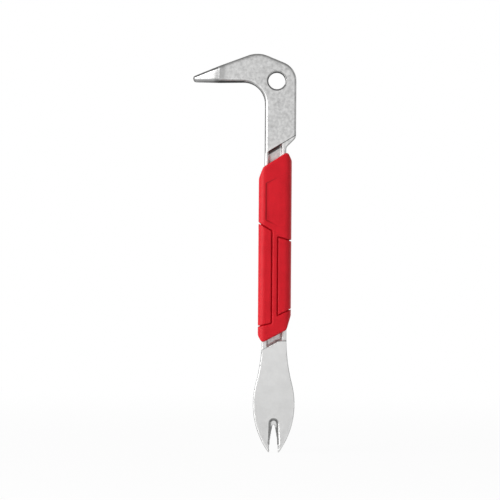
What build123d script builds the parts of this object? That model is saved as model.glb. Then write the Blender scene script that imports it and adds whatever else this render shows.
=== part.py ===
"""Ten-inch nail-pulling pry bar with a moulded grip.

One forged bar: a nail claw at the top, turned square to the shank, a flat head with a hanging
hole, an I-beam shank and a spoon-shaped fork at the foot. The grip is moulded on the shank in
three shots: a hard core in the web pockets, a soft cover, and a soft pad on each side.

Frame: origin at the centre of the hanging hole, +Z up along the shank, -X towards the claw's
tips, -Y towards the dished face of the fork. Millimetres.
"""
from build123d import *
from math import cos, radians, sin, tan
import os

os.makedirs("parts", exist_ok=True)

# ---- overall sizes
overall_length = 254.0      # top of the head's dome to the fork's tips
dome_height = 17.1          # dome above the hanging hole's centre
claw_reach = 53.4           # hanging hole's centre to the claw's tips
centre_x = -0.6             # centreline of shank, grip and fork

# ---- head plate
plate_thickness = 11.0
plate_edge_x = 12.4         # straight right-hand edge
plate_corner_z = -36.2      # corner between the right-hand edge and the slanted foot
plate_corner_round = 4.0
plate_foot_angle = 45.0     # slope of the foot where it runs in to the shank
plate_foot_round = 2.5      # inside that run-in
plate_root = 16.0           # how far the head runs on down the shank, under the grip
plate_edge_chamfer = 1.3    # along the long edges of plate and claw
dome_centre_x = -12.5       # crown of the dome
dome_half_chord = 6.2
dome_rise = 1.1             # crown above the chord's ends
hole_diameter = 11.0
heel_angle = 67.5           # where the sloping heel meets the round about the hole

# ---- claw
claw_underside_z = -0.9
claw_nose_height = 3.4      # blunt nose, underside to top edge
claw_nose_depth = 1.5       # how far the nose's round stands out
crook_radius = 14.0
claw_width = 23.0           # across the shoulders
claw_tip_width = 13.0       # across the two tips
claw_shoulder_x = -36.0
claw_flare_start_x = -13.0
claw_shoulder_round = 3.0
claw_flare_round = 18.0
claw_slot_mouth = 6.4       # nail slot, wide at the tips
claw_slot_end = 2.0         # and narrow at its round end
claw_slot_length = 17.0
claw_slot_bevel = 2.2       # widening of the slot at the underside

# ---- shank
shank_width_top = 13.7
shank_width_foot = 15.6
shank_depth = 10.0
web_thickness = 4.4
flange_width = 2.7
pocket_draft = 12.0         # degrees
step_angle = 31.8           # slope of the forged steps at both ends
head_step_z = -42.4         # head step, on the centreline
fork_step_z = -167.3        # fork step, on the centreline
step_shoulder = 2.8         # the fork's step runs level from this far right of the centreline
fork_step_angle = 29.5

# ---- fork
fork_length = 71.4          # level part of the step to the tips
fork_neck_length = 27.5     # concave part of the outline
fork_neck_width = 23.0      # across the outline where it turns convex
fork_tip_width = 6.6        # across the two tips
fork_tip_thickness = 1.6
fork_offset = 5.2           # how far the tips stand forward of the shank's mid-plane
fork_dish = 1.6             # depth of the dished face below its chord
fork_back_bulge = 0.6
fork_slot_mouth = 5.5
fork_slot_waist = 4.3       # slot width, fork_slot_waist_height above the tips
fork_slot_waist_height = 8.5
fork_slot_end = 1.6
fork_slot_length = 17.7     # through slot, tips to the round end
fork_bevel_width = 7.8      # nail-head bevel on the dished face
fork_bevel_length = 22.6
fork_bevel_depth = 2.6

# ---- grip
grip_side_wall = 2.7        # rubber beside the shank's foot
grip_face_wall = 3.5        # rubber over the flanges
grip_corner = 4.5
grip_end_round = 1.8        # corners of the ends, seen from the broad face
grip_top_z = -45.2          # high (right-hand) corner of the top end
grip_length = 121.9         # high corner of the top end to low corner of the bottom end
grip_end_width = 15.6       # across each end between its corner cuts
grip_top_angle = 32.8
grip_foot_angle = 28.5
corner_cut_short = 5.7      # height of the corner cuts
corner_cut_long = 7.0
foot_cut_short = 4.7
foot_cut_long = 9.2
core_setback = 4.0          # core's ends, inside the cover's ends
anchor_diameter = 5.0       # holes through the web that lock the core
anchor_pitch = 36.0
anchor_count = 3

# ---- pads and their grooves
groove = 0.7
pad_depth = 1.5
centre_strip = 3.1          # cover left standing between the pads
left_pad_top_drop = 45.0    # below the grip's top, at its left edge
left_pad_top_slope = -31.0  # degrees, positive rising to the right
left_pad_foot_rise = 10.1   # above the grip's foot
left_pad_foot_slope = 14.0
right_pad_top_drop = 56.4   # at its right edge
right_pad_top_slope = -15.5
right_pad_foot_rise = 21.3
right_pad_foot_slope = 26.0

# ---- badge recess, left blank
badge_left = 5.8            # left of the centreline
badge_right = 2.8           # right of it, where the sloping floor meets the surface
badge_drop = 20.2           # below the grip's top, at the recess's left end
badge_height = 23.6
badge_slant = 4.3           # how far top and foot spread towards the right
badge_depth = 0.6           # at the left end

# ---- worked out
tip_z = dome_height - overall_length
fork_top_z = tip_z + fork_length
plate_half = plate_thickness / 2
shank_half = shank_depth / 2
web_half = web_thickness / 2
heel_x = plate_edge_x * cos(radians(heel_angle))
heel_z = plate_edge_x * sin(radians(heel_angle))
shank_left_top = centre_x - shank_width_top / 2
shank_right_top = centre_x + shank_width_top / 2
shank_left_foot = centre_x - shank_width_foot / 2
shank_right_foot = centre_x + shank_width_foot / 2
plate_foot_run = plate_edge_x - shank_right_top
shank_top_z = plate_corner_z - plate_foot_run * tan(radians(plate_foot_angle))
root_z = shank_top_z - plate_root
grip_width = shank_width_foot + 2 * grip_side_wall
grip_depth = shank_depth + 2 * grip_face_wall
grip_foot_z = grip_top_z - grip_length
badge_top_z = grip_top_z - badge_drop
badge_foot_z = badge_top_z - badge_height
far = 60.0                  # reach of cutting solids, well outside the bar


def mirrored_pair(half_outline):
    """Close a right-hand outline with its mirror image about the centreline."""
    left = [(2 * centre_x - x, z) for x, z in reversed(half_outline)]
    return half_outline + left


# ---------------------------------------------------------------- head and claw
with BuildPart() as head:
    nose_x = -claw_reach + claw_nose_depth
    nose_top_z = claw_underside_z + claw_nose_height
    with BuildSketch(Plane.XZ):
        with BuildLine():
            underside = Line(
                (nose_x, claw_underside_z),
                (shank_left_top - crook_radius, claw_underside_z),
            )
            crook = TangentArc(
                underside @ 1,
                (shank_left_top, claw_underside_z - crook_radius),
                tangent=underside % 1,
            )
            inner_edge = Line(crook @ 1, (shank_left_top, root_z))
            root = Line(inner_edge @ 1, (shank_right_top, root_z))
            run_in = Line(root @ 1, (shank_right_top, shank_top_z))
            turn = Line(run_in @ 1, (plate_edge_x, plate_corner_z))
            Line(turn @ 1, (plate_edge_x, 0))
            CenterArc((0, 0), plate_edge_x, 0, heel_angle)
            slope = Line(
                (heel_x, heel_z),
                (dome_centre_x + dome_half_chord, dome_height - dome_rise),
            )
            dome = ThreePointArc(
                slope @ 1,
                (dome_centre_x, dome_height),
                (dome_centre_x - dome_half_chord, dome_height - dome_rise - 0.2),
            )
            back = Line(dome @ 1, (nose_x - 0.8, nose_top_z))
            ThreePointArc(
                back @ 1,
                (-claw_reach, claw_underside_z + claw_nose_height / 2),
                (nose_x, claw_underside_z),
            )
        make_face()
        fillet(vertices().sort_by_distance(turn @ 1)[0], plate_corner_round)
        fillet(vertices().sort_by_distance(turn @ 0)[0], plate_foot_round)
    extrude(amount=claw_width / 2, both=True)

    # plan outline: the plate's thickness, the flare to the shoulders, the ground taper to the tips
    with BuildSketch(Plane.XY.offset(-far)):
        with BuildLine():
            Polyline(
                (far, plate_half),
                (claw_flare_start_x, plate_half),
                (claw_shoulder_x, claw_width / 2),
                (-claw_reach - 1, claw_tip_width / 2),
                (-claw_reach - 1, -claw_tip_width / 2),
                (claw_shoulder_x, -claw_width / 2),
                (claw_flare_start_x, -plate_half),
                (far, -plate_half),
                close=True,
            )
        make_face()
        for fold_x, fold_round in (
            (claw_shoulder_x, claw_shoulder_round),
            (claw_flare_start_x, claw_flare_round),
        ):
            folds = vertices().filter_by_position(Axis.X, fold_x - 1, fold_x + 1)
            fillet(folds, fold_round)
    extrude(amount=2 * far, mode=Mode.INTERSECT)

    # chamfer along both faces' outlines, leaving the root, which the shank carries on
    cross_edges = edges().filter_by(Axis.Y)
    flank_folds = edges().filter_by(Axis.Z).filter_by_position(Axis.X, -claw_reach, -crook_radius / 2)
    flank_folds = flank_folds.filter_by_position(Axis.Z, claw_underside_z - 5, dome_height)
    root_edges = edges().filter_by_position(Axis.Z, root_z - 0.1, root_z + 0.1)
    chamfer(edges() - cross_edges - flank_folds - root_edges, plate_edge_chamfer)

    # nail slot between the tips, and its bevel on the underside, where the nail's head bears
    slot_end_x = -claw_reach + claw_slot_length - claw_slot_end / 2
    for widening, lift in ((0, 2 * far), (claw_slot_bevel, claw_slot_bevel)):
        with BuildSketch(Plane.XY.offset(claw_underside_z if widening else -far)):
            with BuildLine():
                Polyline(
                    (-claw_reach - 3, (claw_slot_mouth + widening) / 2),
                    (slot_end_x, (claw_slot_end + widening) / 2),
                    (slot_end_x, -(claw_slot_end + widening) / 2),
                    (-claw_reach - 3, -(claw_slot_mouth + widening) / 2),
                    close=True,
                )
            make_face()
            with Locations((slot_end_x, 0)):
                Circle((claw_slot_end + widening) / 2)
        extrude(amount=lift, taper=26 if widening else 0, mode=Mode.SUBTRACT)

    # hanging hole
    with BuildSketch(Plane.XZ):
        Circle(hole_diameter / 2)
    extrude(amount=plate_thickness, both=True, mode=Mode.SUBTRACT)

# ---------------------------------------------------------------- shank and fork
with BuildPart() as shaft:
    tip_x = centre_x + fork_tip_width / 2
    with BuildSketch(Plane.XZ):
        with BuildLine():
            right_side = Line((shank_right_top, root_z), (shank_right_foot, fork_top_z))
            right_neck = TangentArc(
                right_side @ 1,
                (centre_x + fork_neck_width / 2, fork_top_z - fork_neck_length),
                tangent=right_side % 1,
            )
            right_spoon = TangentArc(right_neck @ 1, (tip_x, tip_z), tangent=right_neck % 1)
            end = Line(right_spoon @ 1, (2 * centre_x - tip_x, tip_z))
            left_side = Line((shank_left_top, root_z), (shank_left_foot, fork_top_z))
            left_neck = TangentArc(
                left_side @ 1,
                (centre_x - fork_neck_width / 2, fork_top_z - fork_neck_length),
                tangent=left_side % 1,
            )
            left_spoon = TangentArc(left_neck @ 1, end @ 1, tangent=left_neck % 1)
            Line(left_side @ 0, right_side @ 0)
        make_face()
    extrude(amount=far / 2, both=True)

    # side profile: full depth down the shank, then the dished wedge of the fork
    chord_z = (fork_top_z + tip_z) / 2
    front_mid_y = -(plate_half + fork_offset + fork_tip_thickness / 2) / 2 + fork_dish
    back_mid_y = (plate_half - fork_offset + fork_tip_thickness / 2) / 2 + fork_back_bulge
    with BuildSketch(Plane.YZ.offset(-far)):
        with BuildLine():
            Line((plate_half, root_z), (plate_half, fork_top_z))
            ThreePointArc(
                (plate_half, fork_top_z),
                (back_mid_y, chord_z),
                (-fork_offset + fork_tip_thickness / 2, tip_z),
            )
            Line(
                (-fork_offset + fork_tip_thickness / 2, tip_z),
                (-fork_offset - fork_tip_thickness / 2, tip_z),
            )
            ThreePointArc(
                (-fork_offset - fork_tip_thickness / 2, tip_z),
                (front_mid_y, chord_z),
                (-plate_half, fork_top_z),
            )
            Line((-plate_half, fork_top_z), (-plate_half, root_z))
            Line((-plate_half, root_z), (plate_half, root_z))
        make_face()
    extrude(amount=2 * far, mode=Mode.INTERSECT)

    # nail slot through the fork
    slot_round_z = tip_z + fork_slot_length - fork_slot_end / 2
    with BuildSketch(Plane.XZ.offset(-far)):
        with BuildLine():
            half_slot = [
                (centre_x + fork_slot_mouth / 2, tip_z - 2),
                (centre_x + fork_slot_waist / 2, tip_z + fork_slot_waist_height),
                (centre_x + fork_slot_end / 2, slot_round_z),
            ]
            Polyline(mirrored_pair(half_slot), close=True)
        make_face()
        with Locations((centre_x, slot_round_z)):
            Circle(fork_slot_end / 2)
    extrude(amount=2 * far, mode=Mode.SUBTRACT)

    # bevel round the slot on the dished face, which takes the nail's head
    bevel_round_z = tip_z + fork_bevel_length - fork_bevel_width / 2
    with BuildSketch(Plane.XZ.offset(plate_half)):
        with Locations((centre_x, (bevel_round_z + tip_z - 8) / 2)):
            Rectangle(fork_bevel_width, bevel_round_z - tip_z + 8)
        with Locations((centre_x, bevel_round_z)):
            Circle(fork_bevel_width / 2)
    extrude(amount=-fork_bevel_depth, taper=42, mode=Mode.SUBTRACT)

# ---------------------------------------------------------------- forged bar
head_step_left_z = head_step_z - far * tan(radians(step_angle))
head_step_right_z = head_step_z + far * tan(radians(step_angle))
fork_level_z = fork_step_z + step_shoulder * tan(radians(fork_step_angle))
fork_step_left_z = fork_level_z - (far + step_shoulder) * tan(radians(fork_step_angle))
fork_level_x = centre_x + step_shoulder

# the field between the head's step and the fork's step
relief_outline = [
    (centre_x - far, head_step_left_z),
    (centre_x + far, head_step_right_z),
    (centre_x + far, fork_level_z),
    (fork_level_x, fork_level_z),
    (centre_x - far, fork_step_left_z),
]

with BuildPart() as forged_bar:
    add(head.part)
    add(shaft.part)

    # both broad faces step down from the head plate and from the fork to the flanges
    for face_plane in (Plane.XZ.offset(shank_half), Plane.XZ.offset(-far)):
        with BuildSketch(face_plane):
            with BuildLine():
                Polyline(relief_outline, close=True)
            make_face()
        extrude(amount=far - shank_half if face_plane.origin.Y > 0 else far, mode=Mode.SUBTRACT)

    # web pockets between the flanges, drafted, with the same slanted ends
    for side in (1, -1):
        with BuildSketch(Plane.XZ.offset(side * shank_half)):
            with BuildLine():
                Polyline(
                    (shank_left_top + flange_width, shank_top_z + far),
                    (shank_right_top - flange_width, shank_top_z + far),
                    (shank_right_foot - flange_width, fork_top_z - far),
                    (shank_left_foot + flange_width, fork_top_z - far),
                    close=True,
                )
            make_face()
            with BuildLine():
                Polyline(relief_outline, close=True)
            make_face(mode=Mode.INTERSECT)
        extrude(amount=-side * (shank_half - web_half), taper=pocket_draft, mode=Mode.SUBTRACT)

    # anchor holes through the web, under the grip
    grip_middle_z = grip_top_z - grip_length / 2
    with BuildSketch(Plane.XZ.offset(-far)):
        with Locations((centre_x, grip_middle_z)):
            with GridLocations(1, anchor_pitch, 1, anchor_count):
                Circle(anchor_diameter / 2)
    extrude(amount=2 * far, mode=Mode.SUBTRACT)

forged_bar.part.label = "forged_bar"
export_step(forged_bar.part, "parts/forged_bar.step")

# ---------------------------------------------------------------- grip
grip_left_x = centre_x - grip_width / 2
grip_right_x = centre_x + grip_width / 2
end_left_x = centre_x - grip_end_width / 2
end_right_x = centre_x + grip_end_width / 2
top_low_z = grip_top_z - grip_end_width * tan(radians(grip_top_angle))
foot_high_z = grip_foot_z + grip_end_width * tan(radians(grip_foot_angle))
strip_left_x = centre_x - centre_strip / 2
strip_right_x = centre_x + centre_strip / 2


def grip_body(inset):
    """The grip's rounded section, drawn in by inset and run past both ends."""
    with BuildPart() as body:
        with BuildSketch(Plane.XY.offset(grip_foot_z - 1)):
            with Locations((centre_x, 0)):
                RectangleRounded(
                    grip_width - 2 * inset,
                    grip_depth - 2 * inset,
                    grip_corner - inset,
                )
        extrude(amount=grip_length + 2)
    return body.part


def pad_zone(edge_x, strip_x, top_z, top_slope, foot_z, foot_slope):
    """Closed outline of a pad's seat, from the centre strip out past the grip's edge."""
    overrun = 5.0 if edge_x > strip_x else -5.0
    outline = []
    for x, edge_z, slope in (
        (edge_x + overrun, top_z, top_slope),
        (strip_x, top_z, top_slope),
        (strip_x, foot_z, foot_slope),
        (edge_x + overrun, foot_z, foot_slope),
    ):
        outline.append((x, edge_z + (x - edge_x) * tan(radians(slope))))
    return outline


left_zone = pad_zone(
    grip_left_x, strip_left_x,
    grip_top_z - left_pad_top_drop, left_pad_top_slope,
    grip_foot_z + left_pad_foot_rise, left_pad_foot_slope,
)
right_zone = pad_zone(
    grip_right_x, strip_right_x,
    grip_top_z - right_pad_top_drop, right_pad_top_slope,
    grip_foot_z + right_pad_foot_rise, right_pad_foot_slope,
)


def pad(zone, gap):
    """The shell of the grip inside a pad zone, drawn back from the zone's edge by gap."""
    with BuildPart() as shell:
        add(grip_body(0))
        with BuildSketch(Plane.XZ.offset(-far)):
            with BuildLine():
                Polyline(zone, close=True)
            make_face()
            if gap:
                offset(amount=-gap, kind=Kind.INTERSECTION)
        extrude(amount=2 * far, mode=Mode.INTERSECT)
        add(grip_body(pad_depth), mode=Mode.SUBTRACT)
    return shell.part


grip_outline = [
    (end_left_x, top_low_z),
    (end_right_x, grip_top_z),
    (grip_right_x, grip_top_z - corner_cut_short),
    (grip_right_x, foot_high_z + foot_cut_long),
    (end_right_x, foot_high_z),
    (end_left_x, grip_foot_z),
    (grip_left_x, grip_foot_z + foot_cut_short),
    (grip_left_x, top_low_z - corner_cut_long),
]

# hard core: fills the web pockets and the anchor holes, ends inside the cover
with BuildPart() as grip_core:
    with BuildSketch(Plane.XZ):
        with BuildLine():
            Polyline(
                (shank_left_top + flange_width / 2, top_low_z - core_setback),
                (shank_right_top - flange_width / 2, top_low_z - core_setback),
                (shank_right_foot - flange_width / 2, foot_high_z + core_setback),
                (shank_left_foot + flange_width / 2, foot_high_z + core_setback),
                close=True,
            )
        make_face()
    extrude(amount=shank_half, both=True)
    add(forged_bar.part, mode=Mode.SUBTRACT)

grip_core.part.label = "grip_core"
export_step(grip_core.part, "parts/grip_core.step")

# tool for the blank badge recess: its floor slopes up to the surface on the right
with BuildPart() as badge:
    with BuildSketch(Plane.XY.offset(badge_foot_z - badge_slant)):
        with BuildLine():
            Polyline(
                (centre_x - badge_left, -grip_depth / 2 - 1),
                (centre_x - badge_left, -grip_depth / 2 + badge_depth),
                (centre_x + badge_right, -grip_depth / 2),
                (centre_x + badge_right, -grip_depth / 2 - 1),
                close=True,
            )
        make_face()
    extrude(amount=badge_top_z - badge_foot_z + 2 * badge_slant)
    with BuildSketch(Plane.XZ):
        with BuildLine():
            Polyline(
                (centre_x - badge_left, badge_top_z),
                (centre_x + badge_right, badge_top_z + badge_slant),
                (centre_x + badge_right, badge_foot_z - badge_slant),
                (centre_x - badge_left, badge_foot_z),
                close=True,
            )
        make_face()
    extrude(amount=far, mode=Mode.INTERSECT)

# soft cover, moulded over the bar and the core
with BuildPart() as grip_cover:
    add(grip_body(0))
    with BuildSketch(Plane.XZ.offset(-far)):
        with BuildLine():
            Polyline(grip_outline, close=True)
        make_face()
        fillet(vertices(), grip_end_round)
    extrude(amount=2 * far, mode=Mode.INTERSECT)
    add(pad(left_zone, 0), mode=Mode.SUBTRACT)
    add(pad(right_zone, 0), mode=Mode.SUBTRACT)

    add(badge.part, mode=Mode.SUBTRACT)         # badge recess
    add(forged_bar.part, mode=Mode.SUBTRACT)
    add(grip_core.part, mode=Mode.SUBTRACT)

grip_cover.part.label = "grip_cover"
export_step(grip_cover.part, "parts/grip_cover.step")

# soft side pads, seated in the cover with an open groove round them
for pad_name, zone in (("left_pad", left_zone), ("right_pad", right_zone)):
    side_pad = pad(zone, groove)
    side_pad.label = pad_name
    export_step(side_pad, f"parts/{pad_name}.step")
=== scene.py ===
"""Looks of a ten-inch nail-pulling pry bar: a plated forging with a red moulded grip.

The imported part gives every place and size. The forging, the grip's cover and its side pads are
refined copies of their own solids, with eased edges and procedural finishes.
"""
import logging
import math
from collections.abc import Callable
from dataclasses import dataclass, field
from enum import Enum

import bmesh
import bpy
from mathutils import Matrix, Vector


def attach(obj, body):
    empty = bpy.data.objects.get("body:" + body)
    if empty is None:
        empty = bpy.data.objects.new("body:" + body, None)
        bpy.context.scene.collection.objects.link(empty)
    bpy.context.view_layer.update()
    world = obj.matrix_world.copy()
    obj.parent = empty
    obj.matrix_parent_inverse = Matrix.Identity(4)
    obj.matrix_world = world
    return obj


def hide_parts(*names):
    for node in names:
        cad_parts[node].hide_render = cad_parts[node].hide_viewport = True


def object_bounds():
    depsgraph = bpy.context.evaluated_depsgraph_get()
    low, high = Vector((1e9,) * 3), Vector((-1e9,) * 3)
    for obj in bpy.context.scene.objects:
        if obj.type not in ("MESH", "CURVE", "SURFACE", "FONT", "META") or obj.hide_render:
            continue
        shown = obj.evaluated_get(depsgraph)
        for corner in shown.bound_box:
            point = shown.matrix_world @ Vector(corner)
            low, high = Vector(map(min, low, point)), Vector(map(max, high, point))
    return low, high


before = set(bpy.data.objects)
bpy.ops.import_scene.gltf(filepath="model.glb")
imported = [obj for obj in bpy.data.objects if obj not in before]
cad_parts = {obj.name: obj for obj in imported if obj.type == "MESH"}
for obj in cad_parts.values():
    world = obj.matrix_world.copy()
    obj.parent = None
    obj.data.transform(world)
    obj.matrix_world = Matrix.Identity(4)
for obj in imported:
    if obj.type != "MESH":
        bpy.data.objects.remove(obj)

CAD_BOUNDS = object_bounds()
MM = 0.001
BODY = "root"

# centreline of the shank, and the sloping lines of its two forged steps, z = rise + slope * x
CENTRE_X = -0.6 * MM
HEAD_STEP_SLOPE = math.tan(math.radians(31.8))
HEAD_STEP_RISE = -42.4 * MM - CENTRE_X * HEAD_STEP_SLOPE
FORK_STEP_SLOPE = math.tan(math.radians(29.5))
FORK_STEP_RISE = -167.3 * MM - CENTRE_X * FORK_STEP_SLOPE
FORK_STEP_LEVEL = -167.3 * MM + 2.8 * MM * FORK_STEP_SLOPE

# centre of the round top of the fork's bevel, and the left end of the blank badge recess
BEVEL_TOP = -218.2 * MM
BADGE_LEFT = CENTRE_X - 5.8 * MM
BADGE_TOP = -65.4 * MM
BADGE_FOOT = -89.0 * MM
BADGE_SPREAD = 4.3 / 8.6

log = logging.getLogger("pry_bar")

Passes = Callable[[Vector], int]


class Slot(Enum):
    """Material slots of the part's record."""

    STEEL = "bar_steel"
    CORE = "core_plastic"
    COVER = "grip_rubber"
    PAD = "pad_rubber"


# ------------------------------------------------------------------ shader building blocks
def map_range(
    tree: bpy.types.NodeTree, value: bpy.types.NodeSocket,
    limits: tuple[float, float, float, float], smooth: bool = False,
) -> bpy.types.NodeSocket:
    """Carry a value from one range over to another.

    Args:
        tree: The tree to build in.
        value: Input socket.
        limits: Low and high of the input, then of the output.
        smooth: Whether the change eases in and out.

    Returns:
        The new value.
    """
    node = tree.nodes.new("ShaderNodeMapRange")
    if smooth:
        node.interpolation_type = "SMOOTHSTEP"
    for key, number in zip(("From Min", "From Max", "To Min", "To Max"), limits):
        node.inputs[key].default_value = number
    tree.links.new(value, node.inputs["Value"])
    return node.outputs["Result"]


def arithmetic(
    tree: bpy.types.NodeTree, operation: str, first: bpy.types.NodeSocket | float,
    second: bpy.types.NodeSocket | float,
) -> bpy.types.NodeSocket:
    """One arithmetic step on two values.

    Args:
        tree: The tree to build in.
        operation: Name of the step.
        first: A socket or a number.
        second: A socket or a number.

    Returns:
        The result.
    """
    node = tree.nodes.new("ShaderNodeMath")
    node.operation = operation
    for index, value in enumerate((first, second)):
        if isinstance(value, (int, float)):
            node.inputs[index].default_value = value
        else:
            tree.links.new(value, node.inputs[index])
    return node.outputs["Value"]


class Shader:
    """A node tree being wired up, with short calls for the nodes that the finishes share."""

    def __init__(self, name: str) -> None:
        """Start an empty material.

        Args:
            name: The material's name.
        """
        self.material = bpy.data.materials.new(name)
        self.material.use_nodes = True
        self.tree = self.material.node_tree
        self.tree.nodes.clear()
        self.output = self.tree.nodes.new("ShaderNodeOutputMaterial")
        self.surface = self.tree.nodes.new("ShaderNodeBsdfPrincipled")
        self.link(self.surface.outputs["BSDF"], self.output.inputs["Surface"])
        self.coords = self.tree.nodes.new("ShaderNodeTexCoord").outputs["Object"]

    def link(self, source: bpy.types.NodeSocket, target: bpy.types.NodeSocket) -> None:
        """Join two sockets.

        Args:
            source: Output socket.
            target: Input socket.
        """
        self.tree.links.new(source, target)

    def stretched(self, scale: tuple[float, float, float]) -> bpy.types.NodeSocket:
        """Object coordinates with each axis scaled.

        Args:
            scale: Factor along X, Y and Z.

        Returns:
            The scaled coordinate socket.
        """
        mapping = self.tree.nodes.new("ShaderNodeMapping")
        mapping.inputs["Scale"].default_value = scale
        self.link(self.coords, mapping.inputs["Vector"])
        return mapping.outputs["Vector"]

    def noise(
        self,
        cell: float,
        detail: float = 2.0,
        rough: float = 0.5,
        vector: bpy.types.NodeSocket | None = None,
    ) -> bpy.types.NodeSocket:
        """Fractal noise.

        Args:
            cell: Size of a feature, metres.
            detail: Octaves.
            rough: Weight of the finer octaves.
            vector: Coordinates to read, or None for plain object coordinates.

        Returns:
            The noise value, about 0.5 on average.
        """
        node = self.tree.nodes.new("ShaderNodeTexNoise")
        node.inputs["Scale"].default_value = 1.0 / cell
        node.inputs["Detail"].default_value = detail
        node.inputs["Roughness"].default_value = rough
        self.link(vector or self.coords, node.inputs["Vector"])
        return node.outputs["Fac"]

    def axis(self, name: str) -> bpy.types.NodeSocket:
        """One object coordinate.

        Args:
            name: X, Y or Z.

        Returns:
            The coordinate, metres.
        """
        split = self.tree.nodes.new("ShaderNodeSeparateXYZ")
        self.link(self.coords, split.inputs["Vector"])
        return split.outputs[name]

    def facing(self, name: str) -> bpy.types.NodeSocket:
        """How far the surface faces along one object axis.

        Args:
            name: X, Y or Z.

        Returns:
            From -1, facing back along the axis, to 1.
        """
        split = self.tree.nodes.new("ShaderNodeSeparateXYZ")
        self.link(self.coords.node.outputs["Normal"], split.inputs["Vector"])
        return split.outputs[name]

    def ramp(
        self, value: bpy.types.NodeSocket, low: float, high: float,
        start: float = 0.0, end: float = 1.0,
    ) -> bpy.types.NodeSocket:
        """Smooth step of a value from one level to another.

        Args:
            value: Input socket.
            low: Input at which the step starts.
            high: Input at which it ends.
            start: Output below low.
            end: Output above high.

        Returns:
            The stepped value.
        """
        return map_range(self.tree, value, (low, high, start, end), smooth=True)

    def within(
        self, value: bpy.types.NodeSocket, low: float, high: float, soft: float,
    ) -> bpy.types.NodeSocket:
        """One between two levels of a value and nought outside them, with soft borders.

        Args:
            value: Input socket.
            low: Lower level.
            high: Upper level.
            soft: Half the width of each border.

        Returns:
            The mask.
        """
        return self.times(self.ramp(value, low - soft, low + soft),
                          self.ramp(value, high - soft, high + soft, 1.0, 0.0))

    def times(self, first: bpy.types.NodeSocket, *others: bpy.types.NodeSocket | float,
              ) -> bpy.types.NodeSocket:
        """Product of two or more values.

        Args:
            first: A socket.
            others: Sockets or numbers.

        Returns:
            The product.
        """
        for other in others:
            first = self.maths("MULTIPLY", first, other)
        return first

    def most(self, first: bpy.types.NodeSocket, *others: bpy.types.NodeSocket,
             ) -> bpy.types.NodeSocket:
        """Largest of two or more values.

        Args:
            first: A socket.
            others: More sockets.

        Returns:
            The largest.
        """
        for other in others:
            first = self.maths("MAXIMUM", first, other)
        return first

    def maths(
        self, operation: str, first: bpy.types.NodeSocket | float,
        second: bpy.types.NodeSocket | float = 0.0,
    ) -> bpy.types.NodeSocket:
        """One arithmetic step on two values.

        Args:
            operation: Name of the step.
            first: A socket or a number.
            second: A socket or a number.

        Returns:
            The result.
        """
        return arithmetic(self.tree, operation, first, second)

    def colours(
        self, factor: bpy.types.NodeSocket, first: tuple[float, float, float],
        second: tuple[float, float, float],
    ) -> bpy.types.NodeSocket:
        """Blend of two colours.

        Args:
            factor: Share of the second colour.
            first: Colour at nought.
            second: Colour at one.

        Returns:
            The blended colour.
        """
        node = self.tree.nodes.new("ShaderNodeMix")
        node.data_type = "RGBA"
        node.inputs[6].default_value = (*first, 1)
        node.inputs[7].default_value = (*second, 1)
        self.link(factor, node.inputs[0])
        return node.outputs[2]

    def bump(self, height: bpy.types.NodeSocket, depth: float) -> None:
        """Relief on the surface.

        Args:
            height: Height from 0 to 1.
            depth: Height of the relief, metres.
        """
        node = self.tree.nodes.new("ShaderNodeBump")
        node.inputs["Distance"].default_value = depth
        self.link(height, node.inputs["Height"])
        previous = self.surface.inputs["Normal"]
        if previous.is_linked:
            self.link(previous.links[0].from_socket, node.inputs["Normal"])
        self.link(node.outputs["Normal"], previous)


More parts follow.
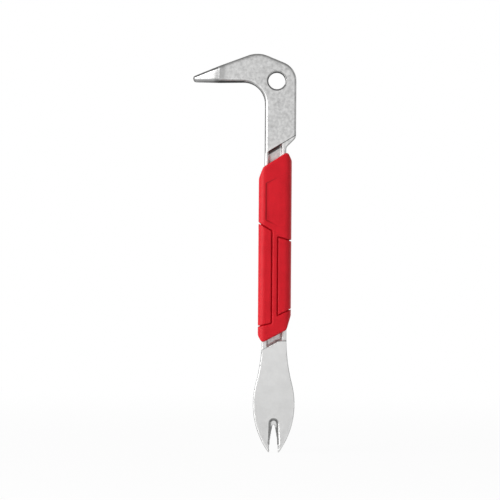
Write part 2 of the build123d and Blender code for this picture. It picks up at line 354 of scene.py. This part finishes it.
# ------------------------------------------------------------------ finishes
@dataclass(frozen=True)
class ForgedSteel:
    """Shot-blasted forging under thin satin plating, ground bright at the claw's tips.

    Attributes:
        plate: Colour of the plating.
        side_shade_share: Share of that colour kept on the sides that turn away from the front, as
            painted shade.
        level: Mean brightness of the plating.
        blast: Contrast of the blasted surface.
        roughness: Least roughness of the plating.
        relief: Depth of the blasted surface, metres.
        eased: Painted shade along the eased edges, from 0 to 1.
        near_side: Further painted shade where they face the claw's side.
        speckle: Size of the blasted pits, metres.
        head_foot: Height below which the plating lies smoother, metres.
        grind_start: X at which the ground taper of the claw starts.
        grind_end: X at which it is fully bright.
        shoulder: From where to where along X the painted shade lies where the grinding ends.
        fold: From where to where along X the painted shade runs along the claw's underside fold.
        pocket_half: Half the width of a web pocket.
        hole_rim: Inner and outer reach of the painted shade round the hanging hole.
        bevel_rim: Inner and outer reach of the painted shade line round the fork's bevel.
    """

    plate: tuple[float, float, float] = (0.80, 0.80, 0.795)
    side_shade_share: float = 0.45
    level: float = 0.93
    blast: float = 0.75
    roughness: float = 0.34
    relief: float = 0.05 * MM
    eased: float = 0.3
    near_side: float = 0.25
    speckle: float = 2.0 * MM
    head_foot: float = -60 * MM
    grind_start: float = -37.5 * MM
    grind_end: float = -41.0 * MM
    shoulder: tuple[float, float] = (-37.6 * MM, -32.8 * MM)
    fold: tuple[float, float] = (-38 * MM, -20 * MM)
    pocket_half: float = 5.9 * MM
    hole_rim: tuple[float, float] = (5.0 * MM, 6.4 * MM)
    bevel_rim: tuple[float, float] = (2.75 * MM, 3.35 * MM)

    def wear(self, shader: Shader) -> tuple[bpy.types.NodeSocket, bpy.types.NodeSocket]:
        """Where the plating is rough, and where the claw is ground.

        Args:
            shader: The tree to build in.

        Returns:
            Share of blasted surface, and share of ground surface.
        """
        head = shader.ramp(shader.axis("Z"), self.head_foot, self.head_foot + 25 * MM)
        ground = shader.ramp(shader.axis("X"), self.grind_end, self.grind_start, 1.0, 0.0)
        return shader.times(head, shader.maths("SUBTRACT", 1.0, ground)), ground

    def claw_painted_shade(self, shader: Shader, pits: bpy.types.NodeSocket) -> bpy.types.NodeSocket:
        """Painted shade where the claw's grinding ends, along its fold and round its edges.

        Args:
            shader: The tree to build in.
            pits: Fine noise that breaks the marks up.

        Returns:
            Darkness from 0 to 1.
        """
        x, z, up = shader.axis("X"), shader.axis("Z"), shader.facing("Z")
        broken = shader.ramp(pits, 0.35, 0.6, 0.4, 1.0)
        shoulder = shader.times(
            shader.within(x, *self.shoulder, 1.3 * MM), broken, 0.34)
        fading = shader.times(shader.ramp(x, -43.0 * MM, -38.5 * MM),
                              shader.ramp(x, self.shoulder[0], -35.5 * MM, 0.48, 0.0))
        fold = shader.times(shader.within(x, *self.fold, 2 * MM),
                            shader.ramp(z, -0.6 * MM, -0.3 * MM, 0.7, 0.0))
        # Painted shade on the claw's faces that turn down, and on the faces near the tips that
        # turn up.
        below = shader.times(shader.ramp(up, -0.6, -0.3, 0.3, 0.0),
                             shader.ramp(x, -16 * MM, -12 * MM, 1.0, 0.0))
        above = shader.times(shader.ramp(up, 0.3, 0.6, 0.0, 0.45),
                             shader.ramp(x, -40 * MM, -36 * MM, 1.0, 0.0))
        return shader.most(shoulder, fading, fold, below, above)

    def head_rise(self, shader: Shader) -> bpy.types.NodeSocket:
        """Height with the slope of the head's step taken off.

        Args:
            shader: The tree to build in.

        Returns:
            That height, equal to HEAD_STEP_RISE along the step, metres.
        """
        slope = shader.times(shader.axis("X"), HEAD_STEP_SLOPE)
        return shader.maths("SUBTRACT", shader.axis("Z"), slope)

    def fork_sill(self, shader: Shader) -> bpy.types.NodeSocket:
        """Height above the fork's step, which slopes and then runs level.

        Args:
            shader: The tree to build in.

        Returns:
            The height, nought along the step, metres.
        """
        z = shader.axis("Z")
        slant = shader.maths("SUBTRACT", z, shader.times(shader.axis("X"), FORK_STEP_SLOPE))
        return shader.maths("MAXIMUM", shader.maths("SUBTRACT", slant, FORK_STEP_RISE),
                            shader.maths("SUBTRACT", z, FORK_STEP_LEVEL))

    def pockets(self, shader: Shader) -> bpy.types.NodeSocket:
        """The matt web pockets between the two forged steps.

        Args:
            shader: The tree to build in.

        Returns:
            One in the pockets, nought on the flanges, the head and the fork.
        """
        rise, sill = self.head_rise(shader), self.fork_sill(shader)
        left, right = CENTRE_X - self.pocket_half, CENTRE_X + self.pocket_half
        return shader.times(
            shader.within(shader.axis("X"), left, right, 0.2 * MM),
            shader.ramp(rise, HEAD_STEP_RISE - 0.3 * MM, HEAD_STEP_RISE, 1.0, 0.0),
            shader.ramp(sill, -0.4 * MM, -0.1 * MM))

    def step_painted_shade(self, shader: Shader) -> bpy.types.NodeSocket:
        """Painted shade in the corners of the forged steps and round the hole's rim, where it is
        darker towards the lower left.

        Args:
            shader: The tree to build in.

        Returns:
            Darkness from 0 to 1.
        """
        x, z = shader.axis("X"), shader.axis("Z")
        rise = self.head_rise(shader)
        corner = shader.times(
            shader.within(rise, HEAD_STEP_RISE - 2.2 * MM, HEAD_STEP_RISE + 0.1 * MM, 0.3 * MM),
            shader.within(x, -5.2 * MM, 2.6 * MM, 1.2 * MM), 0.85)
        line = shader.times(
            shader.within(rise, HEAD_STEP_RISE - 0.5 * MM, HEAD_STEP_RISE + 0.1 * MM, 0.12 * MM),
            shader.ramp(x, -5.6 * MM, -5.0 * MM), 0.75)
        sill = shader.times(
            shader.within(self.fork_sill(shader), -0.3 * MM, 0.25 * MM, 0.12 * MM), 0.4)
        reach = shader.maths("SQRT", shader.maths("ADD", shader.times(x, x), shader.times(z, z)))
        lower = shader.maths("ADD", shader.times(x, -0.45), shader.times(z, -0.9))
        rim = shader.times(shader.within(reach, *self.hole_rim, 0.2 * MM),
                           shader.ramp(lower, -3.0 * MM, 1.5 * MM, 0.45, 0.78))
        return shader.most(corner, line, sill, rim)

    def slot_painted_shade(self, shader: Shader) -> bpy.types.NodeSocket:
        """Painted shade round the fork's nail bevel on the dished face, and on the bevel's wall
        that faces the claw's side.

        Args:
            shader: The tree to build in.

        Returns:
            Darkness from 0 to 1.
        """
        across = shader.maths("SUBTRACT", shader.axis("X"), CENTRE_X)
        above = shader.maths("MAXIMUM", shader.maths("SUBTRACT", shader.axis("Z"), BEVEL_TOP))
        reach = shader.maths("SQRT", shader.maths("ADD", shader.times(across, across),
                                                  shader.times(above, above)))
        front = shader.ramp(shader.facing("Y"), -0.3, -0.1, 1.0, 0.0)
        line = shader.within(reach, *self.bevel_rim, 0.2 * MM)
        cap = shader.times(shader.within(reach, 1.4 * MM, 3.3 * MM, 0.3 * MM),
                           shader.ramp(above, 0.2 * MM, 1.2 * MM))
        lower = shader.ramp(shader.axis("Z"), -229 * MM, -212 * MM, 0.35, 1.0)
        # Painted shade on the bevel's wall that faces the claw's side.
        lit_wall_shade = shader.times(shader.ramp(shader.facing("X"), -0.35, -0.1, 1.0, 0.0),
                           shader.within(across, 0.6 * MM, 3.3 * MM, 0.2 * MM), 0.45)
        return shader.times(shader.most(shader.times(line, lower, 0.62), shader.times(cap, 0.5),
                                        shader.times(lit_wall_shade, lower)), front)

    def material(self) -> bpy.types.Material:
        """Build the shader.

        Returns:
            The finished material.
        """
        shader = Shader("forged_steel")
        forged, ground = self.wear(shader)
        pits = shader.noise(self.speckle, 3.0, 0.6)
        clouds = shader.noise(6 * MM, 2.0, 0.5)
        contrast = shader.maths("ADD", 0.08, shader.times(forged, self.blast))
        grain = shader.times(shader.maths("SUBTRACT", pits, 0.5), contrast)
        drift = shader.times(shader.maths("SUBTRACT", clouds, 0.5), 0.14)
        level = shader.maths("SUBTRACT", self.level, shader.times(forged, 0.07))
        tone = shader.maths("ADD", shader.maths("ADD", level, grain), drift)
        facing = shader.maths("ABSOLUTE", shader.facing("Y"))
        pockets = self.pockets(shader)
        # Painted shade on the edges that turn away from the front, more where they face the claw's
        # side.
        eased = shader.maths("SUBTRACT", 1.0, shader.times(
            shader.within(facing, 0.08, 0.82, 0.08), shader.ramp(
                shader.facing("X"), -0.75, -0.4, self.eased + self.near_side, self.eased)))
        # Painted shade on the sides that turn away from the front; the web pockets keep their full
        # colour.
        painted_side_shade = shader.times(shader.ramp(facing, 0.2, 0.62, self.side_shade_share, 1.0), eased)
        painted_side_shade = shader.most(painted_side_shade, pockets)
        # Painted shade from the claw, the forged steps, the hole's rim and the fork's bevel.
        marks = shader.most(self.claw_painted_shade(shader, pits), self.step_painted_shade(shader),
                            self.slot_painted_shade(shader))
        clear = shader.times(shader.maths("SUBTRACT", 1.0, marks), painted_side_shade)
        colour = shader.colours(shader.times(tone, clear), (0, 0, 0), self.plate)
        shader.link(colour, shader.surface.inputs["Base Color"])
        shader.link(colour, shader.surface.inputs["Specular Tint"])
        shader.link(shader.maths("SUBTRACT", 1.0, shader.times(pockets, 0.5)),
                    shader.surface.inputs["Metallic"])
        gloss = shader.maths("ADD", self.roughness, shader.times(pits, 0.12))
        gloss = shader.maths("SUBTRACT", gloss, shader.times(ground, 0.08))
        shader.link(gloss, shader.surface.inputs["Roughness"])
        relief = shader.times(pits, shader.maths("ADD", 0.15, shader.times(forged, 0.85)))
        shader.bump(relief, self.relief)
        lines = shader.noise(0.35 * MM, 2.0, 0.5, shader.stretched((0.08, 1.0, 1.0)))
        shader.bump(shader.times(lines, ground), 0.01 * MM)
        return shader.material


@dataclass(frozen=True)
class SoftRubber:
    """Satin moulded rubber with a fine spark-eroded texture.

    Attributes:
        name: Material name.
        colour: Colour of the surface.
        shade: Colour in the texture's valleys.
        roughness: Mean roughness.
        grain: Size of the texture, metres.
        recessed: Whether the blank badge recess lies in this piece.
        front: From where to where along Y the recess's painted shade fades out.
    """

    name: str
    colour: tuple[float, float, float] = (0.70, 0.008, 0.019)
    shade: tuple[float, float, float] = (0.60, 0.005, 0.014)
    roughness: float = 0.42
    grain: float = 0.35 * MM
    recessed: bool = False
    front: tuple[float, float] = (-7.2 * MM, -6.8 * MM)

    def recess(self, shader: Shader) -> bpy.types.NodeSocket:
        """Painted shade along the wall and edges of the badge recess, fading where it runs out.

        Args:
            shader: The tree to build in.

        Returns:
            Darkness from 0 to 1.
        """
        x, z = shader.axis("X"), shader.axis("Z")
        front = shader.ramp(shader.axis("Y"), *self.front, 1.0, 0.0)
        across = shader.maths("SUBTRACT", x, BADGE_LEFT)
        spread = shader.times(across, BADGE_SPREAD)
        over = shader.maths("SUBTRACT", shader.maths("SUBTRACT", z, BADGE_TOP), spread)
        under = shader.maths("ADD", shader.maths("SUBTRACT", z, BADGE_FOOT), spread)
        tall = shader.times(shader.ramp(over, -0.2 * MM, 0.2 * MM, 1.0, 0.0),
                            shader.ramp(under, -0.2 * MM, 0.2 * MM))
        wall = shader.times(shader.within(across, -0.35 * MM, 0.45 * MM, 0.15 * MM), tall)
        runs = shader.times(shader.ramp(across, -0.4 * MM, 0.0),
                            shader.ramp(across, 1.0 * MM, 8.6 * MM, 0.9, 0.1))
        rails = shader.times(
            shader.most(shader.within(over, -0.4 * MM, 0.2 * MM, 0.15 * MM),
                        shader.within(under, -0.2 * MM, 0.4 * MM, 0.15 * MM)), runs)
        return shader.times(shader.most(wall, rails), front, 0.75)

    def turned_away_shade(self, shader: Shader) -> bpy.types.NodeSocket:
        """Painted shade on what faces down or away from the claw.

        Args:
            shader: The tree to build in.

        Returns:
            Darkness from 0 to 1.
        """
        return shader.most(shader.ramp(shader.facing("Z"), -0.7, -0.2, 0.5, 0.0),
                           shader.ramp(shader.facing("X"), 0.4, 0.85, 0.0, 0.2))

    def material(self) -> bpy.types.Material:
        """Build the shader.

        Returns:
            The finished material.
        """
        shader = Shader(self.name)
        grain = shader.noise(self.grain, 3.0, 0.6)
        drift = shader.noise(9 * MM, 2.0, 0.5)
        tone = shader.maths("ADD", shader.times(grain, 0.6), shader.times(drift, 0.4))
        tone = shader.ramp(tone, 0.35, 0.62)
        # Painted shade colour: half the valley colour, blended in on turned faces and in the badge
        # recess.
        painted_shade_colour = tuple(0.5 * part for part in self.shade)
        colour = shader.colours(tone, self.shade, self.colour)
        depth = self.turned_away_shade(shader)
        if self.recessed:
            depth = shader.most(depth, self.recess(shader))
        darker = shader.colours(depth, self.shade, painted_shade_colour)
        shader.link(colour, darker.node.inputs[6])
        shader.link(darker, shader.surface.inputs["Base Color"])
        shader.link(shader.maths("ADD", shader.times(grain, 0.12), self.roughness - 0.06),
                    shader.surface.inputs["Roughness"])
        shader.surface.inputs["Specular IOR Level"].default_value = 0.22
        shader.bump(grain, 0.02 * MM)
        return shader.material


@dataclass(frozen=True)
class HardCore:
    """Dark first shot of the grip, as it leaves the mould.

    Attributes:
        colour: Colour of the moulding.
        flow: Colour of its flow marks.
    """

    colour: tuple[float, float, float] = (0.035, 0.035, 0.04)
    flow: tuple[float, float, float] = (0.055, 0.055, 0.06)

    def material(self) -> bpy.types.Material:
        """Build the shader.

        Returns:
            The finished material.
        """
        shader = Shader("hard_core")
        streaks = shader.noise(2 * MM, 3.0, 0.5, shader.stretched((1.0, 1.0, 0.2)))
        shader.link(shader.colours(shader.ramp(streaks, 0.4, 0.6), self.colour, self.flow),
                    shader.surface.inputs["Base Color"])
        shader.surface.inputs["Roughness"].default_value = 0.5
        shader.bump(streaks, 0.02 * MM)
        return shader.material


# ------------------------------------------------------------------ refined pieces
@dataclass
class EasedPiece:
    """A visible piece made from one node's solid, reskinned evenly with its edges eased.

    Attributes:
        node: The node it stands for.
        piece: Its own name.
        slot: The record's material slot; not used.
        cell: Size of the new skin's facets, metres.
        passes: Gives each point its number of easing passes.
    """

    node: str
    piece: str
    slot: Slot
    cell: float
    passes: Passes
    obj: bpy.types.Object | None = field(default=None, init=False)

    def build(self) -> bpy.types.Object:
        """Copy the node, reskin it and ease its edges.

        Returns:
            The new object.
        """
        bm = bmesh.new()
        bm.from_mesh(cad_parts[self.node].data)
        bmesh.ops.remove_doubles(bm, verts=bm.verts, dist=0.002 * MM)
        mesh = bpy.data.meshes.new(self.piece)
        bm.to_mesh(mesh)
        self.obj = bpy.data.objects.new(self.piece, mesh)
        bpy.context.scene.collection.objects.link(self.obj)
        skin = self.obj.modifiers.new("even_skin", "REMESH")
        skin.mode = "VOXEL"
        skin.voxel_size = self.cell
        reskinned = self.obj.evaluated_get(bpy.context.evaluated_depsgraph_get())
        bm.clear()
        bm.from_mesh(reskinned.to_mesh())
        reskinned.to_mesh_clear()
        self.obj.modifiers.clear()
        self.ease(bm)
        bm.to_mesh(mesh)
        bm.free()
        return self.obj

    def ease(self, bm: bmesh.types.BMesh) -> None:
        """Round the edges by averaging each point with its neighbours.

        Args:
            bm: The new skin.
        """
        counts = [self.passes(vert.co / MM) for vert in bm.verts]
        for turn in range(max(counts)):
            moving = [vert for vert, count in zip(bm.verts, counts) if count > turn]
            bmesh.ops.smooth_vert(bm, verts=moving, factor=0.5, use_axis_x=True,
                                  use_axis_y=True, use_axis_z=True)
        for face in bm.faces:
            face.smooth = True

    def dress(self, material: bpy.types.Material) -> None:
        """Give the piece its finish and its place in the frame.

        Args:
            material: The finish.
        """
        self.obj.data.materials.clear()
        self.obj.data.materials.append(material)
        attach(self.obj, BODY)
        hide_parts(self.node)
        log.info("%s: %d faces", self.piece, len(self.obj.data.polygons))


@dataclass
class Forging:
    """The one-piece steel bar.

    Attributes:
        cell: Size of the new skin's facets, metres.
        shank: Foot and top of the stretch that keeps its steps crisp, millimetres.
        fork_slot: Top of the fork's bevel, millimetres.
        slot_reach: How far from the centreline that bevel is kept crisp, millimetres.
        hole_reach: How far from the hanging hole's centre its rim is kept crisp, millimetres.
        step_reach: How far from the head's step it is kept crisp, millimetres.
        finish: Its finish.
    """

    cell: float = 0.45 * MM
    shank: tuple[float, float] = (-173.0, -60.0)
    fork_slot: float = -212.0
    slot_reach: float = 5.0
    hole_reach: float = 7.0
    step_reach: float = 1.5
    finish: ForgedSteel = ForgedSteel()

    def passes(self, point: Vector) -> int:
        """Easing of the forging at a point: more along its outlines than at steps and slots.

        Args:
            point: The point, millimetres.

        Returns:
            Number of passes.
        """
        step = point.z - (HEAD_STEP_RISE / MM + point.x * HEAD_STEP_SLOPE)
        if abs(step) < self.step_reach or self.shank[0] < point.z < self.shank[1]:
            return 2
        if point.z < self.fork_slot and abs(point.x - CENTRE_X / MM) < self.slot_reach:
            return 2
        if math.hypot(point.x, point.z) < self.hole_reach:
            return 1
        return 5

    def build(self) -> None:
        """Model and dress the bar."""
        bar = EasedPiece("forged_bar", "steel_bar", Slot.STEEL, self.cell, self.passes)
        bar.build()
        bar.dress(self.finish.material())


@dataclass
class Grip:
    """The three-shot moulded grip.

    Attributes:
        cover_cell: Size of the facets of the cover's new skin, metres.
        pad_cell: Size of those of the pads, metres.
        sleeve: Half width and half depth of the cover's bore, millimetres.
        top: Height of the line above which the top end is rounded, on the centreline.
        foot: Height of the line below which the foot end is rounded, on the centreline.
        foot_slope: Slope of that line.
        cover_finish: Finish of the cover.
        pad_finish: Finish of the pads.
        core_finish: Finish of the core.
    """

    cover_cell: float = 0.45 * MM
    pad_cell: float = 0.35 * MM
    sleeve: tuple[float, float] = (8.0, 5.3)
    top: float = -72.0
    foot: float = -159.0
    foot_slope: float = 0.6
    cover_finish: SoftRubber = SoftRubber("cover_rubber", recessed=True)
    pad_finish: SoftRubber = SoftRubber("pad_rubber")
    core_finish: HardCore = HardCore()

    def passes(self, point: Vector) -> int:
        """Easing of the rubber at a point: more at the grip's ends than at its grooves.

        Args:
            point: The point, millimetres.

        Returns:
            Number of passes.
        """
        across = point.x - CENTRE_X / MM
        if abs(across) < self.sleeve[0] and abs(point.y) < self.sleeve[1]:
            return 1
        if point.z > self.top + across or point.z < self.foot + self.foot_slope * across:
            return 8
        return 1

    def build(self) -> None:
        """Model and dress the cover and pads, and dress the core."""
        cover = EasedPiece("grip_cover", "soft_cover", Slot.COVER, self.cover_cell, self.passes)
        cover.build()
        cover.dress(self.cover_finish.material())
        rubber = self.pad_finish.material()
        for side in ("left", "right"):
            pad = EasedPiece(f"{side}_pad", f"{side}_side_pad", Slot.PAD, self.pad_cell,
                             self.passes)
            pad.build()
            pad.dress(rubber)
        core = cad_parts["grip_core"]
        core.data.materials.clear()
        core.data.materials.append(self.core_finish.material())
        log.info("grip_core: dressed")


# ------------------------------------------------------------------ studio
@dataclass(frozen=True)
class Lamp:
    """A soft square lamp aimed at the tool.

    Attributes:
        name: Its name.
        place: Offset from the aim, metres.
        size: Side of its square, metres.
        power: Watts.
    """

    name: str
    place: tuple[float, float, float]
    size: float
    power: float

    def hang(self, aim: Vector) -> None:
        """Hang the lamp and turn it to the tool.

        Args:
            aim: Point that it shines at.
        """
        data = bpy.data.lights.new(self.name, "AREA")
        data.shape = "SQUARE"
        data.size = self.size
        data.energy = self.power
        lamp = bpy.data.objects.new(self.name, data)
        lamp.location = aim + Vector(self.place)
        lamp.rotation_euler = Vector(self.place).to_track_quat("Z", "Y").to_euler()
        bpy.context.scene.collection.objects.link(lamp)


@dataclass
class Studio:
    """Floor, lights, surroundings and camera.

    Attributes:
        aim: Point at the middle of the view.
        distance: Camera to aim, metres.
        view_width: Width of the view at the aim, metres.
        roll: Turn of the camera about its own axis, degrees.
        room: Light that the room sheds on matt surfaces.
        walls: What polished surfaces see of the room, from left, 0, to right, 1.
        ceiling: Low and high of the height at which the room dims, and its light at each.
        floor_half: Half the side of the floor, metres.
        floor_paint: Grey of the floor under the lamps.
        floor_fade: Reach at which the floor's shadow starts and ends to fade, metres, and the
            share of plain white at each.
        lamps: Key from the left front, weak fill from the right front, side from the right behind.
    """

    aim: Vector = field(default_factory=lambda: Vector((-16.4, -5.5, -108.0)) * MM)
    distance: float = 1.7
    view_width: float = 318.3 * MM
    roll: float = -0.405
    room: float = 0.42
    walls: tuple[tuple[float, float], ...] = (
        (0.0, 0.55), (0.25, 0.6), (0.46, 0.58), (0.74, 0.64), (1.0, 0.5),
    )
    ceiling: tuple[float, float, float, float] = (0.4, 0.9, 1.0, 0.75)
    floor_half: float = 6.0
    floor_paint: float = 0.9
    floor_fade: tuple[float, float, float, float] = (0.2, 0.8, 0.93, 1.0)
    lamps: tuple[Lamp, ...] = (
        Lamp("key", (-1.25, -0.7, 0.3), 1.4, 24.0),
        Lamp("fill", (0.6, -1.3, 0.1), 0.8, 0.6),
        Lamp("side", (1.1, 0.8, 0.4), 1.0, 2.0),
    )

    def camera(self) -> None:
        """Stand the camera square to the head plate."""
        data = bpy.data.cameras.new("camera")
        data.lens = data.sensor_width * self.distance / self.view_width
        data.clip_end = 20.0
        camera = bpy.data.objects.new("camera", data)
        camera.location = self.aim - Vector((0, self.distance, 0))
        camera.rotation_euler = (math.pi / 2, math.radians(self.roll), 0)
        bpy.context.scene.collection.objects.link(camera)
        bpy.context.scene.camera = camera

    def surroundings(self) -> None:
        """White room for the camera, and for reflections one that dims away from the key."""
        world = bpy.data.worlds.new("studio")
        bpy.context.scene.world = world
        world.use_nodes = True
        tree = world.node_tree
        tree.nodes.clear()
        output = tree.nodes.new("ShaderNodeOutputWorld")
        path = tree.nodes.new("ShaderNodeLightPath")
        room, mirror, white = (tree.nodes.new("ShaderNodeBackground") for _ in range(3))
        for background in (room, mirror, white):
            background.inputs["Color"].default_value = (1, 1, 1, 1)
        room.inputs["Strength"].default_value = self.room
        coords = tree.nodes.new("ShaderNodeTexCoord")
        split = tree.nodes.new("ShaderNodeSeparateXYZ")
        tree.links.new(coords.outputs["Generated"], split.inputs["Vector"])
        side = tree.nodes.new("ShaderNodeValToRGB")
        side.color_ramp.interpolation = "EASE"
        while len(side.color_ramp.elements) < len(self.walls):
            side.color_ramp.elements.new(0.5)
        for stop, (place, level) in zip(side.color_ramp.elements, self.walls):
            stop.position = place
            stop.color = (level, level, level, 1)
        across = map_range(tree, split.outputs["X"], (-1, 1, 0, 1))
        tree.links.new(across, side.inputs["Fac"])
        ceiling = map_range(tree, split.outputs["Z"], self.ceiling)
        shade = arithmetic(tree, "MULTIPLY", side.outputs["Color"], ceiling)
        tree.links.new(shade, mirror.inputs["Strength"])
        either = arithmetic(tree, "MAXIMUM", path.outputs["Is Glossy Ray"],
                            path.outputs["Is Transmission Ray"])
        first = tree.nodes.new("ShaderNodeMixShader")
        second = tree.nodes.new("ShaderNodeMixShader")
        tree.links.new(either, first.inputs["Fac"])
        tree.links.new(room.outputs["Background"], first.inputs[1])
        tree.links.new(mirror.outputs["Background"], first.inputs[2])
        tree.links.new(path.outputs["Is Camera Ray"], second.inputs["Fac"])
        tree.links.new(first.outputs["Shader"], second.inputs[1])
        tree.links.new(white.outputs["Background"], second.inputs[2])
        tree.links.new(second.outputs["Shader"], output.inputs["Surface"])

    def floor(self) -> None:
        """Plain white floor under the tool's lowest point."""
        bm = bmesh.new()
        bmesh.ops.create_grid(bm, x_segments=1, y_segments=1, size=self.floor_half)
        bmesh.ops.translate(bm, verts=bm.verts, vec=(0, 0, CAD_BOUNDS[0].z))
        mesh = bpy.data.meshes.new("floor")
        bm.to_mesh(mesh)
        bm.free()
        floor = bpy.data.objects.new("floor", mesh)
        bpy.context.scene.collection.objects.link(floor)
        material = bpy.data.materials.new("floor_white")
        material.use_nodes = True
        tree = material.node_tree
        tree.nodes.clear()
        output = tree.nodes.new("ShaderNodeOutputMaterial")
        paint = tree.nodes.new("ShaderNodeBsdfDiffuse")
        paint.inputs["Color"].default_value = (*[self.floor_paint] * 3, 1)
        glow = tree.nodes.new("ShaderNodeEmission")
        path = tree.nodes.new("ShaderNodeLightPath")
        seen = arithmetic(tree, "ADD", path.outputs["Is Camera Ray"],
                          path.outputs["Is Glossy Ray"])
        seen = arithmetic(tree, "ADD", seen, path.outputs["Is Transmission Ray"])
        where = tree.nodes.new("ShaderNodeTexCoord")
        reach = tree.nodes.new("ShaderNodeVectorMath")
        reach.operation = "LENGTH"
        tree.links.new(where.outputs["Object"], reach.inputs[0])
        fade = map_range(tree, reach.outputs["Value"], self.floor_fade, smooth=True)
        mix = tree.nodes.new("ShaderNodeMixShader")
        tree.links.new(arithmetic(tree, "MULTIPLY", seen, fade), mix.inputs["Fac"])
        tree.links.new(paint.outputs["BSDF"], mix.inputs[1])
        tree.links.new(glow.outputs["Emission"], mix.inputs[2])
        tree.links.new(mix.outputs["Shader"], output.inputs["Surface"])
        floor.data.materials.append(material)

    def build(self) -> None:
        """Set up the whole studio."""
        self.camera()
        for lamp in self.lamps:
            lamp.hang(self.aim)
        self.surroundings()
        self.floor()
        bpy.context.scene.view_settings.view_transform = "Standard"


def main() -> None:
    """Build the tool and its studio, and report each piece."""
    logging.basicConfig(level=logging.INFO, format="%(name)s: %(message)s")
    Forging().build()
    Grip().build()
    Studio().build()


if __name__ == "__main__":
    main()
